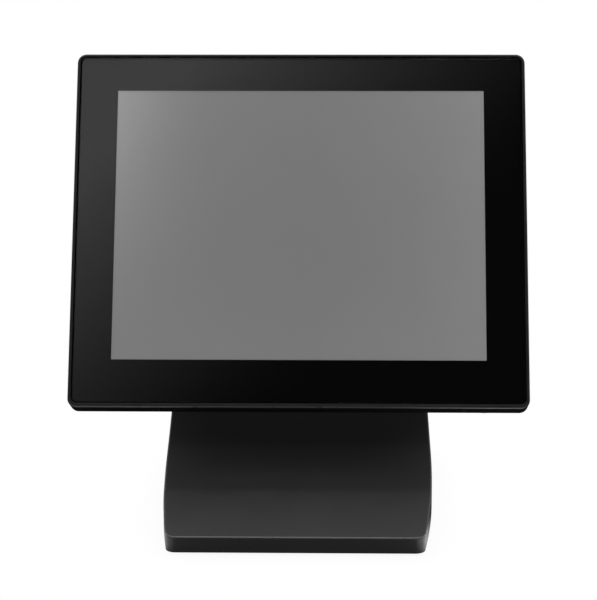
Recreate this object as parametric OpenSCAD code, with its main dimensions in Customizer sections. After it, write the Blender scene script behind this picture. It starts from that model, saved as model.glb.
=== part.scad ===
// Point-of-sale touchscreen terminal: flat-glass display head on a concave weighted stand.
// Own frame: origin on the counter plane at the centre of the stand's footprint,
// +X to the operator's right, +Y away from the operator, +Z up. Millimetres.

/* [Head] */
// Width of the head across the rim
head_w = 372.6; // [371:0.1:374]
// Height of the rim above the centre of the screen, along the head
head_up = 145; // [144.6:0.1:146]
// Height of the rim below the centre of the screen, along the head
head_down = 154.1; // [153.6:0.1:154.6]
// Depth of the rim's side wall
rim_d = 20; // [19.6:0.1:20.1]
// Lean of the head back from vertical at rest, in degrees
tilt = 28; // [20:0.5:32]
// Height of the screen's centre above the counter
screen_z = 217.7; // [216:0.1:222]
// Distance of the screen's centre behind the footprint's centre
screen_y = 68.4; // [67:0.1:70]
// Visible picture width
pic_w = 304.1; // [300:0.1:305]
// Visible picture height
pic_h = 228.1; // [225:0.1:229]
// Thickness of the touch glass
glass_t = 3; // [2.6:0.1:3]
// Gap between the glass and the rim
glass_gap = 1; // [0.6:0.1:1.2]

/* [Stand] */
// Depth of the footprint, front to back
base_d = 232; // [230:0.5:236]
// Greatest width of the stand
base_w = 218; // [214:0.1:220]
// Height of the front strip's top edge above the counter
strip_top = 15.1; // [14.6:0.1:16]
// Height of the stand's lower edge above the counter
skirt_z = 2.2; // [2:0.1:2.4]
// Rise of the foot's flat front part, in degrees
foot_slope = 4; // [3.5:0.1:4.5]
// Length of the foot's flat front part
foot_flat = 90; // [86:0.5:92]
// Radius of the concave sweep from foot to neck
sweep_r = 110; // [109:0.1:110.5]
// Radius of the neck's rounded top about the hinge axis
neck_r = 15.2; // [14.6:0.1:15.4]
// Inward lean of the stand's sides, in degrees
side_lean = 4.2; // [3.5:0.1:4.8]
// Wall of the stand's cover
wall = 3; // [2.6:0.1:3]

/* [Mounting] */
// Counter screws: spacing across the stand
bolt_x = 150; // [146:1:152]
// Counter screws: spacing front to back
bolt_y = 100; // [96:1:102]
// Counter screws: clearance hole diameter
bolt_hole = 5.5; // [5.3:0.1:6.5]

/* [Hidden] */
$fn = 64;

// Head frame: x across, y behind the front face, z up the head from the screen's centre.
half_w = head_w / 2;
lip_side = 2.6; // rim width around the glass opening
lip_bottom = 3.8;
lip_top = 2.1;
glass_front = 0.2;
glass_half_w = half_w - lip_side - glass_gap;
glass_top = head_up - lip_top - glass_gap;
glass_bottom = -(head_down - lip_bottom - glass_gap);
cover_inset = 0.7; // rear cover's edge inside the rim's
cover_front = 20.2;
cover_back = 45.6;
chassis_front = 17;
chassis_back = 18.2;
on_chassis = chassis_back + 0.05;
board_back = 24.1;
on_board = board_back + 0.05;
head_hinge = [62, -60]; // hinge axis, y and z
pin_hole_r = 4.05;
button_x = 150;
lamp_x = 134;
underside_y = 12; // depth of the button and lamp
speaker_x = 110;
side_slots_x = 112;

// Panels in the head, as left, bottom, right, top
LCD_CASE = [-163.2, -126.7, 163.2, 126.7];
LCD_WINDOW = [-153.8, -115.8, 153.8, 115.8];
BRACKET_PLATE = [-70, -100, 70, -8];
DOOR_SEAT = [-156.2, -28.2, -75.8, 88.2];
DOOR_OPENING = [-151, -22.8, -81, 82.8];
SOCKET_BAY = [-56, -146, 56, -113.4];
door_gap = 0.3;

// Left and right spots at each of the given rows
function pairs(x, rows) = [for (row = rows, side = [-1, 1]) [side * x, row]];

// Spots in the head, x and z
HEAD_SCREWS = pairs(174.5, [110, 0, -110]);
COVER_SCREWS = concat(pairs(174.5, [60, -60]), pairs(60, [136]));
BRACKET_SCREWS = pairs(62, [-91.5, -16.5]);
BOARD_SCREWS = pairs(46, [-86, 31]);
DOOR_SCREWS = [[-116, -25.5], [-116, 85.5]];
DRIVE_HOLES = [[23, 10], [23, 60]]; // y and z
// left edge, width and height of each socket shell across the connector edge
PORTS = [
  [-50, 9.4, 11], [-38, 15.4, 6.2], [-20, 13.6, 15.4],
  [-4, 13.6, 15.4], [12.5, 16.4, 13.4], [31.5, 16.4, 13.4]];

// Stand frame: x across, y behind the footprint's front edge, z above the counter.
hinge = [
  screen_y + head_hinge[0] * cos(tilt) + head_hinge[1] * sin(tilt) + base_d / 2,
  screen_z - head_hinge[0] * sin(tilt) + head_hinge[1] * cos(tilt)];
// Centre of the sweep, which is tangent to the flat front part and to the neck
sweep_c = [
  foot_flat - sweep_r * sin(foot_slope),
  strip_top + foot_flat * tan(foot_slope) + sweep_r * cos(foot_slope)];
to_hinge = hinge - sweep_c;
neck_ang = atan2(to_hinge[1], to_hinge[0]) - acos((sweep_r + neck_r) / norm(to_hinge));
// Direction from the hinge axis to where the straight back leaves the neck
to_heel = [base_d, skirt_z] - hinge;
back_ang = acos(neck_r / norm(to_heel)) + atan2(to_heel[1], to_heel[0]);

// Plan of the stand: large arcs for sides, rounded corners
side_r = 1032;
side_x = base_w / 2 - side_r;
side_y = 146.5;
front_corner_r = 8;
back_corner_r = 6;
lean_z = 23; // height at which the leaning sides have their nominal width

plate_bottom = 2.6;
plate_top = 4.1;
on_plate = plate_top + 0.2;
frame_front = 216.8; // upright of the support frame
frame_back = 219.8;
frame_top = 107.6;
hinge_cover_z = 108.3;
CABLE_OPENING = [-50, 10, 50, 96]; // left, bottom, right, top

// Spots in the stand, x and y
PLATE_SCREWS = concat(pairs(92, [40]), pairs(97, [120]), pairs(96, [196]), [[0, 12], [0, 225.5]]);
FEET = pairs(80, [20, 214]);
FRAME_BOLTS = pairs(50, [158, 196]);
COUNTER_BOLTS = pairs(bolt_x / 2, [(base_d - bolt_y) / 2, (base_d + bolt_y) / 2]);
HINGE_BOLTS = pairs(30, [86, 101]); // x and z

// ---------- helpers ----------
module in_head() translate([0, screen_y, screen_z]) rotate([-tilt, 0, 0]) children();
module in_stand() translate([0, -base_d / 2, 0]) children();

// A drawing in x and z given depth, and one in y and z given width
module along_y(from, to)
  translate([0, to, 0]) rotate([90, 0, 0]) linear_extrude(height = to - from) children();
module along_x(from, to)
  translate([from, 0, 0]) rotate([90, 0, 90]) linear_extrude(height = to - from) children();

module box(low, high) translate(low) cube(high - low);
// Box from a left, bottom, right, top outline drawn in by inset
module panel(edges, inset, from, to)
  box([edges[0] + inset, from, edges[1] + inset], [edges[2] - inset, to, edges[3] - inset]);

// Cylinders along an axis; a spot holds the other two coordinates
module rod_x(spot, r, from, to)
  translate([from, spot[0], spot[1]]) rotate([0, 90, 0]) cylinder(r = r, h = to - from);
module rod_y(spot, r, from, to)
  translate([spot[0], to, spot[1]]) rotate([90, 0, 0]) cylinder(r = r, h = to - from);
module rod_z(spot, r, from, to)
  translate([spot[0], spot[1], from]) cylinder(r = r, h = to - from);
module rods_x(spots, r, from, to) for (spot = spots) rod_x(spot, r, from, to);
module rods_y(spots, r, from, to) for (spot = spots) rod_y(spot, r, from, to);
module rods_z(spots, r, from, to) for (spot = spots) rod_z(spot, r, from, to);
// Cone narrowing forward from its back face
module cone_y(spot, back, r1, r2, h)
  translate([spot[0], back, spot[1]]) rotate([90, 0, 0]) cylinder(r1 = r1, r2 = r2, h = h);

module repeat(count, step) for (i = [0:count - 1]) translate(i * step) children();
module both_sides() for (flip = [0, 1]) mirror([flip, 0, 0]) children();

module rounded_rect(left, bottom, right, top, r) {
  translate([left + r, bottom]) square([right - left - 2 * r, top - bottom]);
  translate([left, bottom + r]) square([right - left, top - bottom - 2 * r]);
  for (x = [left + r, right - r], z = [bottom + r, top - r]) translate([x, z]) circle(r = r);
}
// Head and glass outlines, drawn in
module head_outline(side, bottom, top, r)
  rounded_rect(-half_w + side, -head_down + bottom, half_w - side, head_up - top, r);
module glass_outline(inset, r)
  rounded_rect(-glass_half_w + inset, glass_bottom + inset,
    glass_half_w - inset, glass_top - inset, r);

// Screws with a cross recess in the back of the head
module cross_screws(spots, head_r, shank_r, tip, seat, head_end, slot_from, arm)
  for (spot = spots) difference() {
    union() {
      rod_y(spot, head_r, seat, head_end);
      rod_y(spot, shank_r, tip, seat + 0.05);
    }
    for (reach = [[0.4, arm], [arm, 0.4]])
      box([spot[0] - reach[0], slot_from, spot[1] - reach[1]],
        [spot[0] + reach[0], head_end + 1, spot[1] + reach[1]]);
  }

// ---------- head shells ----------
module front_bezel() color([0.13, 0.13, 0.135]) in_head() difference() {
  union() {
    difference() {
      union() {
        along_y(0.9, rim_d) head_outline(0, 0, 0, 7.5);
        along_y(0, 1) head_outline(0.7, 0.9, 0.5, 7);
      }
      along_y(-1, rim_d + 1) head_outline(lip_side, lip_bottom, lip_top, 5);
    }
    // ledge behind the glass
    difference() {
      along_y(4.2, 6.2) head_outline(1.5, 1.5, 1, 5);
      along_y(4, 7) square([329, 256], center = true);
    }
    rods_y(HEAD_SCREWS, 3.5, 6, 16.95);
    rods_y(COVER_SCREWS, 3.5, 6, 19.8);
  }
  rods_y(HEAD_SCREWS, 1.5, 8, 18);
  rods_y(COVER_SCREWS, 1.5, 8, 21);
  // button, lamp and speaker openings in the underside
  rod_z([button_x, underside_y], 5.2, -head_down - 1, -head_down + 5);
  rod_z([lamp_x, underside_y], 1.6, -head_down - 1, -head_down + 5);
  for (side = [-1, 1]) translate([side * speaker_x, 0, 0])
    repeat(6, [4, 0, 0]) box([-11, 8, -head_down - 1], [-9.4, 14.5, -head_down + 5]);
}

module touch_glass() color([0.02, 0.02, 0.025, 0.35]) in_head() union() {
  along_y(0.6, glass_front + glass_t) glass_outline(0, 4);
  along_y(glass_front, 0.7) glass_outline(0.4, 3.6);
}

module glass_border_print() color([0.02, 0.02, 0.02]) in_head() along_y(3.22, 3.4) difference() {
  glass_outline(0.5, 3.5);
  square([pic_w, pic_h], center = true);
}

module glass_adhesive() color([0.08, 0.08, 0.08]) in_head() along_y(3.45, 4.15) difference() {
  glass_outline(1.2, 3);
  square([332, 259], center = true);
}

// Outside of the rear cover, drawn in: outline, plan and side view together
module cover_body(inset) {
  edge = cover_inset + inset;
  side = half_w - edge;
  bottom = -head_down + edge;
  top = head_up - edge;
  back = cover_back - inset;
  bend_y = 25 - inset * 0.4;
  intersection() {
    along_y(cover_front, cover_back + 1) head_outline(edge, edge, edge, 6.5);
    translate([0, 0, -200]) linear_extrude(height = 400) polygon([
      [-side, 0], [side, 0], [side, bend_y],
      [168 - inset * 0.7, 42.5 - inset * 0.7], [161 - inset * 0.5, back],
      [-161 + inset * 0.5, back], [-168 + inset * 0.7, 42.5 - inset * 0.7], [-side, bend_y]]);
    along_x(-200, 200) polygon([
      [0, bottom], [21.5 - inset * 0.5, bottom],
      [back, -110 + inset * 0.55], [back, 116 - inset * 0.5],
      [41 - inset * 0.8, 131 - inset * 0.7], [bend_y, top], [0, top]]);
  }
}
module cover_shell(outer, inner) difference() {
  cover_body(outer);
  translate([0, -0.1, 0]) cover_body(inner);
}

module rear_cover() color([0.1, 0.1, 0.105]) in_head() difference() {
  union() {
    difference() {
      cover_shell(0, 2.4);
      box([-184, 20, -151.3], [184, 22, 142.4]);
    }
    // seat behind the tilt bracket
    panel(BRACKET_PLATE, -3, 40, 44);
    // frame under the drive door
    box([-159, 41.4, -31], [-73.5, 44, 91]);
    // socket bay: side walls and front wall
    intersection() {
      cover_body(0.5);
      union() {
        for (x = [-62.2, 60.2]) box([x, cover_front, -151], [x + 2, 45, -111]);
        box([-62, cover_front, -151], [62, 22, -114]);
      }
    }
    // screw towers
    intersection() {
      cover_body(0.5);
      rods_y(COVER_SCREWS, 5, cover_front, 45);
    }
  }
  rods_y(COVER_SCREWS, 3.6, 23, 60);
  rods_y(COVER_SCREWS, 1.7, 15, 30);
  // bracket pocket and holes
  panel(BRACKET_PLATE, -0.6, 42.4, 60);
  rods_y(BRACKET_SCREWS, 2.3, 30, 50);
  // drive door seat, opening and screw holes
  panel(DOOR_SEAT, 0, 43.6, 60);
  panel(DOOR_OPENING, 0, 30, 60);
  rods_y(DOOR_SCREWS, 1.35, 30, 60);
  panel(SOCKET_BAY, 0, 22, 60);
  // air slots
  repeat(20, [6, 0, 0]) box([-58.2, 30, 58], [-55.8, 60, 102]);
  for (side = [-1, 1]) translate([side * side_slots_x, 0, 0])
    repeat(10, [6, 0, 0]) box([-28.2, 22, -138], [-25.8, 60, -122]);
}

module rear_cover_screws() color([0.35, 0.35, 0.36]) in_head()
  cross_screws(COVER_SCREWS, head_r = 2.8, shank_r = 1.4,
    tip = 10, seat = 23.05, head_end = 25, slot_from = 24.2, arm = 1.8);

module io_cover() color([0.1, 0.1, 0.105]) in_head() difference() {
  intersection() {
    cover_shell(0.1, 2.3);
    panel(SOCKET_BAY, 0.4, 22.2, 60);
  }
  // cable notches in the lower edge
  for (x = [-34, 0, 34]) box([x - 9, 20, -150], [x + 9, 60, -131]);
}

module drive_door() color([0.1, 0.1, 0.105]) in_head() difference() {
  union() {
    panel(DOOR_SEAT, door_gap, 43.7, 45.5);
    // ribs just inside the opening
    for (x = [DOOR_OPENING[0] + door_gap, DOOR_OPENING[2] - door_gap - 1.5])
      box([x, 42.6, DOOR_OPENING[1] + door_gap], [x + 1.5, 43.8, DOOR_OPENING[3] - door_gap]);
  }
  rods_y(DOOR_SCREWS, 1.6, 40, 50);
  // grip grooves
  repeat(5, [6, 0, 0]) box([-130, 45, 66], [-127, 50, 76]);
}

module door_screws() color([0.35, 0.35, 0.36]) in_head()
  cross_screws(DOOR_SCREWS, head_r = 2.3, shank_r = 1.3,
    tip = 41.6, seat = 45.55, head_end = 46.8, slot_from = 46.3, arm = 1.6);

// ---------- display ----------
module lcd_frame() color([0.62, 0.63, 0.64]) in_head() difference() {
  panel(LCD_CASE, 0, 4.3, 15.5);
  panel(LCD_CASE, 1.2, 5.1, 16);
  panel(LCD_WINDOW, 0, 4, 6);
}

module lcd_panel() color([0.42, 0.42, 0.43]) in_head() difference() {
  union() {
    panel(LCD_CASE, 1.4, 5.15, 15);
    panel(LCD_WINDOW, 0.4, 3.6, 6);
  }
  // recesses in the back
  box([-120, 13.5, 96], [120, 16, 118]);
  box([20, 12, 98], [70, 16, 112]);
}

module lcd_brackets() color([0.6, 0.6, 0.6]) in_head() both_sides() difference() {
  union() {
    box([163.6, 8, -100], [164.8, 16.9, 100]);
    box([163.6, 15.7, -100], [169.4, 16.9, 100]);
  }
  rods_x([[11.5, -80], [11.5, 80]], 1.6, 160, 170);
}

// ---------- chassis and electronics ----------
module chassis_plate() color([0.6, 0.61, 0.62]) in_head() difference() {
  union() {
    box([-181, chassis_front, -126], [181, chassis_back, 140.5]);
    box([-150, 18, 138.9], [150, 22, 140.1]);
  }
  rods_y(HEAD_SCREWS, 1.7, 16, 20);
  rods_y(COVER_SCREWS, 5.4, 16, 23);
  rods_y(BOARD_SCREWS, 1.2, 16, 20);
  // display cable opening and row of slots
  box([28, 16, 95], [62, 20, 101]);
  repeat(10, [9, 0, 0]) box([78, 16, -60], [81, 20, 60]);
}

module chassis_screws() color([0.5, 0.5, 0.52]) in_head()
  cross_screws(HEAD_SCREWS, head_r = 2.8, shank_r = 1.4,
    tip = 9, seat = on_chassis, head_end = 19.9, slot_from = 19.2, arm = 1.8);

module bracket_posts() color([0.6, 0.6, 0.62]) in_head() difference() {
  rods_y(BRACKET_SCREWS, 4.5, on_chassis, 39.9);
  rods_y(BRACKET_SCREWS, 2.05, 25, 41);
}

module board_standoffs() color([0.7, 0.6, 0.3]) in_head() difference() {
  rods_y(BOARD_SCREWS, 3, on_chassis, 22.45, $fn = 6);
  rods_y(BOARD_SCREWS, 1.3, 18, 23);
}

module main_board() color([0.05, 0.22, 0.12]) in_head() difference() {
  union() {
    box([-51, 22.5, -110], [51, board_back, 36]);
    // small parts on the board's back
    repeat(6, [0, 0, 9]) box([36, 24, -70], [42, 27, -64]);
    box([-48, 24, -20], [-38, 26, 0]);
    repeat(4, [0, 0, 8]) rod_y([46, -18], 3, 24, 31);
    box([-30, 24, -92], [-10, 25.6, -86]);
  }
  rods_y(BOARD_SCREWS, 1.6, 20, 30);
}

module board_screws() color([0.5, 0.5, 0.52]) in_head() union() {
  rods_y(BOARD_SCREWS, 2.5, on_board, 25.6);
  rods_y(BOARD_SCREWS, 1.25, 19, 24.2);
}

module processor() color([0.55, 0.55, 0.57]) in_head() union() {
  box([-17, on_board, -69], [17, 25.2, -35]);
  box([-11, 25.1, -63], [11, 26, -41]);
}

module heat_sink() color([0.7, 0.7, 0.72]) in_head() union() {
  box([-30, 26.05, -82], [30, 29, -22]);
  repeat(11, [5.75, 0, 0]) box([-29.5, 28.9, -82], [-28, 39.4, -22]);
}

module memory_socket() color([0.08, 0.08, 0.08]) in_head() difference() {
  union() {
    box([-36, on_board, -14], [36, 29.6, -6.5]);
    for (x = [-35.2, 35.2]) box([x - 1.2, on_board, -7], [x + 1.2, 29, 14]);
  }
  box([-34, 26.4, -10.5], [34, 27.9, -6]);
}

module memory_module() color([0.05, 0.25, 0.14]) in_head() union() {
  box([-33.8, 26.6, -10.3], [33.8, 27.7, 19.5]);
  repeat(4, [15.6, 0, 0]) box([-30, 27.6, 0], [-18, 28.7, 14]);
}

module cmos_battery() color([0.75, 0.75, 0.76]) in_head() rod_y([-40.6, -58], 10, on_board, 27.3);

// Socket shells, each with a tongue left standing in its mouth
module io_connectors() color([0.7, 0.7, 0.7]) in_head() for (port = PORTS) {
  left = port[0];
  right = left + port[1];
  back = on_board + port[2];
  tongue = on_board + port[2] * 0.3;
  difference() {
    box([left, on_board, -113.4], [right, back, -96]);
    difference() {
      box([left + 0.6, on_board + 0.6, -114], [right - 0.6, back - 0.6, -99]);
      box([left + 2.4, tongue, -112], [right - 2.4, tongue + 1.4, -98]);
    }
  }
}

module io_plate() color([0.7, 0.7, 0.71]) in_head() difference() {
  box([-60, 22.2, -112.9], [60, 40.4, -112.1]);
  for (port = PORTS)
    box([port[0] - 0.2, 24, -115], [port[0] + port[1] + 0.2, on_board + port[2] + 0.2, -110]);
  box([-52, 20, -113], [52, 24.3, -110]);
}

module drive_tray() color([0.62, 0.62, 0.63]) in_head() difference() {
  union() {
    box([-154, on_chassis, -22], [-78, 19.3, 82]);
    for (x = [-154, -79]) box([x, on_chassis, -22], [x + 1, 27, 82]);
  }
  rods_x(DRIVE_HOLES, 1.7, -160, -150);
  rods_x(DRIVE_HOLES, 1.7, -80, -75);
}

module solid_state_drive() color([0.2, 0.2, 0.22]) in_head() difference() {
  box([-151, 19.4, -18], [-81, 26.4, 82]);
  rods_x(DRIVE_HOLES, 1.4, -152, -147);
  rods_x(DRIVE_HOLES, 1.4, -85, -80);
  // socket in the lower end
  box([-142, 21, -19], [-110, 25, -14]);
}

// Flat cable from the panel, through the chassis and down to its plug on the board
module display_cable() color([0.15, 0.15, 0.16]) in_head() union() {
  box([32, 12.6, 98.5], [58, 19, 99.1]);
  box([32, 18.4, 38.2], [58, 19, 99.1]);
  box([32, 18.4, 38.2], [58, 27, 38.8]);
  box([32, 26.4, 31], [58, 27, 38.8]);
  box([35, on_board, 35.2], [55, 27, 37.9]);
}

module touch_controller() color([0.05, 0.2, 0.3]) in_head() union() {
  box([-36, 6.25, -148], [36, 7.85, -131]);
  box([-12, 7.8, -144], [0, 9.3, -134]);
  box([14, 7.8, -146], [30, 11, -141]);
}

module speakers() color([0.09, 0.09, 0.09]) in_head()
  for (side = [-1, 1]) translate([side * speaker_x, 0, 0]) difference() {
    box([-18, 6.3, -149.2], [18, 15.4, -131]);
    box([-12, 7.6, -150], [12, 14.6, -147.4]);
  }

module power_switch() color([0.1, 0.25, 0.15]) in_head() union() {
  box([button_x - 7, 6.25, -146.6], [button_x + 7, 17, -145]);
  box([button_x - 3, 9, -147.3], [button_x + 3, 15, -146.5]);
  rod_z([button_x, underside_y], 1.6, -147.85, -147.2);
}

module power_button() color([0.2, 0.2, 0.21]) in_head() union() {
  rod_z([button_x, underside_y], 5, -head_down - 0.6, -149);
  rod_z([button_x, underside_y], 5.65, -150.1, -148.9);
}

module status_led_lens() color([0.6, 0.8, 0.7]) in_head() union() {
  rod_z([lamp_x, underside_y], 1.5, -head_down + 0.1, -149);
  rod_z([lamp_x, underside_y], 2.4, -150.1, -148.6);
}

// ---------- tilt bracket on the head ----------
module tilt_bracket() color([0.3, 0.3, 0.31]) in_head() difference() {
  y = head_hinge[0];
  z = head_hinge[1];
  union() {
    panel(BRACKET_PLATE, 0, 42.6, cover_back);
    for (x = [-53.5, 50.5]) along_x(x, x + 3) union() {
      polygon([
        [44, -79], [cover_back, -79], [y - 1, z - 9.8], [y, z - 9.6],
        [y, z + 9.6], [y - 1, z + 9.8], [cover_back, -41], [44, -41]]);
      translate(head_hinge) circle(r = 10);
    }
  }
  rod_x(head_hinge, pin_hole_r, -60, 60);
  rods_y(BRACKET_SCREWS, 2.2, 40, 50);
  for (spot = BRACKET_SCREWS) cone_y(spot, cover_back + 0.01, 4.3, 2.1, 2.2);
  // cable opening
  box([-34, 40, -84], [34, 50, -70]);
}

module tilt_bracket_screws() color([0.45, 0.45, 0.46]) in_head()
  for (spot = BRACKET_SCREWS) difference() {
    union() {
      cone_y(spot, cover_back - 0.1, 4, 1.95, 2.05);
      rod_y(spot, 1.95, 30, 44);
    }
    rod_y(spot, 1.3, cover_back - 1.4, cover_back + 1, $fn = 6);
  }

// ---------- stand ----------
// Side profile in y and z, drawn in and taken down to bottom
module side_profile(inset, bottom) {
  front_top = strip_top + inset * (tan(foot_slope) - 1 / cos(foot_slope));
  chamfer = inset > 0 ? 0 : 1; // outer surface only
  low = sweep_c + (sweep_r + inset) * [sin(foot_slope), -cos(foot_slope)];
  high = sweep_c + (sweep_r + inset) * [cos(neck_ang), sin(neck_ang)];
  neck_start = 180 + neck_ang;
  union() {
    polygon([
      [inset, bottom], [inset, front_top - chamfer],
      [inset + chamfer * 0.3, front_top - chamfer * 0.3],
      [inset + chamfer, front_top + chamfer * tan(foot_slope)],
      low, [low[0], bottom]]);
    difference() {
      polygon([
        [low[0], bottom], [low[0], low[1] + 20], [high[0], high[1] + 3], [high[0], bottom]]);
      translate(sweep_c) circle(r = sweep_r + inset, $fn = 240);
    }
    polygon(concat(
      [[high[0], bottom], high],
      [for (i = [0:16])
        let (angle = neck_start + (back_ang - neck_start) * i / 16)
        hinge + (neck_r - inset) * [cos(angle), sin(angle)]],
      [[base_d - inset, skirt_z], [base_d - inset, bottom]]));
  }
}

// Waste outside the two rounded corners at one end; outward is -1 at the front, 1 at the back
module corner_cuts(edge, outward, corner_r, inset) {
  centre_y = edge - outward * corner_r;
  centre_x = side_x + sqrt(pow(side_r - corner_r, 2) - pow(centre_y - side_y, 2));
  radius = corner_r - inset;
  outer_y = edge + outward * 5;
  for (side = [-1, 1]) polygon(concat(
    [[side * centre_x, outer_y]],
    [for (angle = [0:14:84])
      [side * (centre_x + radius * sin(angle)), centre_y + outward * radius * cos(angle)]],
    [[side * 130, centre_y], [side * 130, outer_y]]));
}
module plan(inset) difference() {
  intersection() {
    for_left = [side_x, side_y];
    translate(for_left) circle(r = side_r - inset, $fn = 360);
    translate([-side_x, side_y]) circle(r = side_r - inset, $fn = 360);
    translate([-150, inset]) square([300, base_d - 2 * inset]);
  }
  corner_cuts(0, -1, front_corner_r, inset);
  corner_cuts(base_d, 1, back_corner_r, inset);
}

// Front view, drawn in
module front_view(inset) {
  function half_at(z) =
    base_w / 2 + 0.3 - inset / cos(side_lean) + (lean_z - z) * tan(side_lean);
  polygon([
    [-half_at(0), -10], [half_at(0), -10], [half_at(10), 10],
    [half_at(160), 160], [-half_at(160), 160], [-half_at(10), 10]]);
}

module stand_body(inset, bottom) intersection() {
  along_x(-150, 150) side_profile(inset, bottom);
  translate([0, 0, bottom - 1]) linear_extrude(height = 200) plan(inset);
  along_y(-10, 300) front_view(inset);
}
module stand_shell(outer, inner) difference() {
  stand_body(outer, skirt_z);
  stand_body(inner, skirt_z - 2);
}

module stand_cover() color([0.16, 0.16, 0.165]) in_stand() difference() {
  union() {
    stand_shell(0, wall);
    // screw towers for the base plate, the outer ones with ribs to the sides
    intersection() {
      stand_body(0.6, skirt_z);
      for (spot = PLATE_SCREWS) {
        x = spot[0];
        side_end = sign(x) * 112;
        rod_z(spot, 4.2, on_plate, 16);
        if (x != 0)
          box([min(x, side_end), spot[1] - 1.2, on_plate], [max(x, side_end), spot[1] + 1.2, 16]);
      }
    }
  }
  rods_z(PLATE_SCREWS, 1.5, 3, 12);
  // opening at the top of the neck for the hinge
  box([-60, 150, 108], [60, 260, 170]);
  // cable opening in the back
  panel(CABLE_OPENING, 0, 215, 260);
}

module cable_cover() color([0.16, 0.16, 0.165]) in_stand() difference() {
  union() {
    intersection() {
      stand_shell(0.1, wall - 0.1);
      panel(CABLE_OPENING, 0.3, 220, 260);
    }
    // tabs near the top edge
    for (x = [-40, 36]) box([x, 222.2, 90], [x + 4, 229, 94]);
  }
  // cable notch and row of slots
  box([-16, 215, 5], [16, 260, 22]);
  repeat(3, [0, 0, 4]) box([-14, 226.9, 78], [14, 240, 79.6]);
}

module base_plate() color([0.3, 0.3, 0.31]) in_stand() difference() {
  union() {
    intersection() {
      translate([0, 0, plate_bottom]) linear_extrude(height = plate_top - plate_bottom)
        plan(wall + 0.4);
      along_y(0, 300) front_view(wall + 0.4);
    }
    rods_z(COUNTER_BOLTS, 9, 0, 3);
  }
  rods_z(COUNTER_BOLTS, bolt_hole / 2, -1, 6);
  rods_z(PLATE_SCREWS, 1.7, 0, 6);
  for (spot = PLATE_SCREWS)
    translate([spot[0], spot[1], 2.59]) cylinder(r1 = 3.1, r2 = 1.65, h = 1.45);
  rods_z(FRAME_BOLTS, 2.55, 0, 6);
  // air slots
  repeat(8, [6, 0, 0]) box([-22, 168, 0], [-19.6, 190, 6]);
}

module base_plate_screws() color([0.45, 0.45, 0.46]) in_stand()
  for (spot = PLATE_SCREWS) difference() {
    union() {
      translate([spot[0], spot[1], 2.7]) cylinder(r1 = 2.9, r2 = 1.45, h = 1.4);
      rod_z(spot, 1.4, 3.5, 10.5);
    }
    rod_z(spot, 1.1, 2.5, 3.4, $fn = 6);
  }

module ballast_weight() color([0.25, 0.25, 0.26]) in_stand() difference() {
  box([-62, 26, on_plate], [62, 136, on_plate + 8]);
  rods_z(pairs(50, [38, 124]), 2.6, 0, 20);
}

module rubber_feet() color([0.03, 0.03, 0.03]) in_stand() rods_z(FEET, 9, 0, 2.55);

module support_frame() color([0.45, 0.45, 0.46]) in_stand() difference() {
  union() {
    box([-64, 148, on_plate], [64, frame_back, on_plate + 3]);
    box([-64, frame_front, on_plate], [64, frame_back, frame_top]);
    // gussets
    for (x = [-64, 61]) along_x(x, x + 3) polygon([[196, 6], [217.5, 6], [217.5, 104]]);
  }
  rods_z(FRAME_BOLTS, 2.6, 0, 12);
  // cable pass-through and hinge bracket holes
  box([-30, 210, 22], [30, 225, 74]);
  rods_y(HINGE_BOLTS, 2.6, 210, 225);
  box([-22, 165, 0], [22, 193, 12]);
}

module frame_bolts() color([0.5, 0.5, 0.52]) in_stand() union() {
  rods_z(FRAME_BOLTS, 4.6, 7.35, 10.75, $fn = 6);
  rods_z(FRAME_BOLTS, 2.5, 2.7, 8);
}

module hinge_bracket() color([0.32, 0.32, 0.33]) in_stand() difference() {
  y = hinge[0];
  z = hinge[1];
  union() {
    box([-49.5, 213.7, 80], [49.5, 216.7, frame_top]);
    for (x = [-49.5, 45.5]) along_x(x, x + 4) union() {
      polygon([
        [216.6, 84], [216.6, 118], [y + 3, z + 8], [y, z + 9.5],
        [y - 10.5, z], [204, 104], [208, 84]]);
      translate(hinge) circle(r = 11);
    }
  }
  rod_x(hinge, pin_hole_r, -60, 60);
  rods_y(HINGE_BOLTS, 2.6, 210, 225);
}

module hinge_bracket_bolts() color([0.5, 0.5, 0.52]) in_stand() union() {
  rods_y(HINGE_BOLTS, 4.6, 210.45, 213.65, $fn = 6);
  rods_y(HINGE_BOLTS, 2.5, 213, 222.5);
}

module hinge_pins() color([0.6, 0.6, 0.62]) in_stand() both_sides() union() {
  rod_x(hinge, 7.5, 41.5, 45.4);
  rod_x(hinge, 4, 45.3, 58.2);
}

module hinge_washers() color([0.55, 0.55, 0.56]) in_stand()
  for (x = [-54.5, -50.4, 49.6, 53.7]) difference() {
    rod_x(hinge, 8, x, x + 0.8);
    rod_x(hinge, pin_hole_r, x - 1, x + 2);
  }

module hinge_nuts() color([0.6, 0.6, 0.62]) in_stand() for (x = [-57.6, 54.6]) difference() {
  rod_x(hinge, 7.2, x, x + 3, $fn = 6);
  rod_x(hinge, pin_hole_r, x - 1, x + 5);
}

// Top of the neck's side profile, drawn in
module neck_top(inset) intersection() {
  side_profile(inset, 100);
  translate([150, hinge_cover_z]) square([100, 60]);
}
module hinge_cover() color([0.13, 0.13, 0.135]) in_stand() difference() {
  union() {
    along_x(-40.5, 40.5) difference() {
      neck_top(0.05);
      side_profile(2.4, 90);
    }
    // end walls
    for (x = [-40.5, 38.3]) along_x(x, x + 2.2) neck_top(0.5);
  }
  rod_x(hinge, 8, -42, -37);
  rod_x(hinge, 8, 37, 42);
}

module cable_clips() color([0.1, 0.1, 0.1]) in_stand()
  for (x = [-16, 16]) translate([x, 0, 82]) difference() {
    y = frame_back + 0.05;
    along_x(-4, 4) polygon([[y, -4], [222.4, -4], [223.6, 0], [222.4, 4], [y, 4]]);
    rod_z([0, 221], 0.7, -6, 6);
  }

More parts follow.
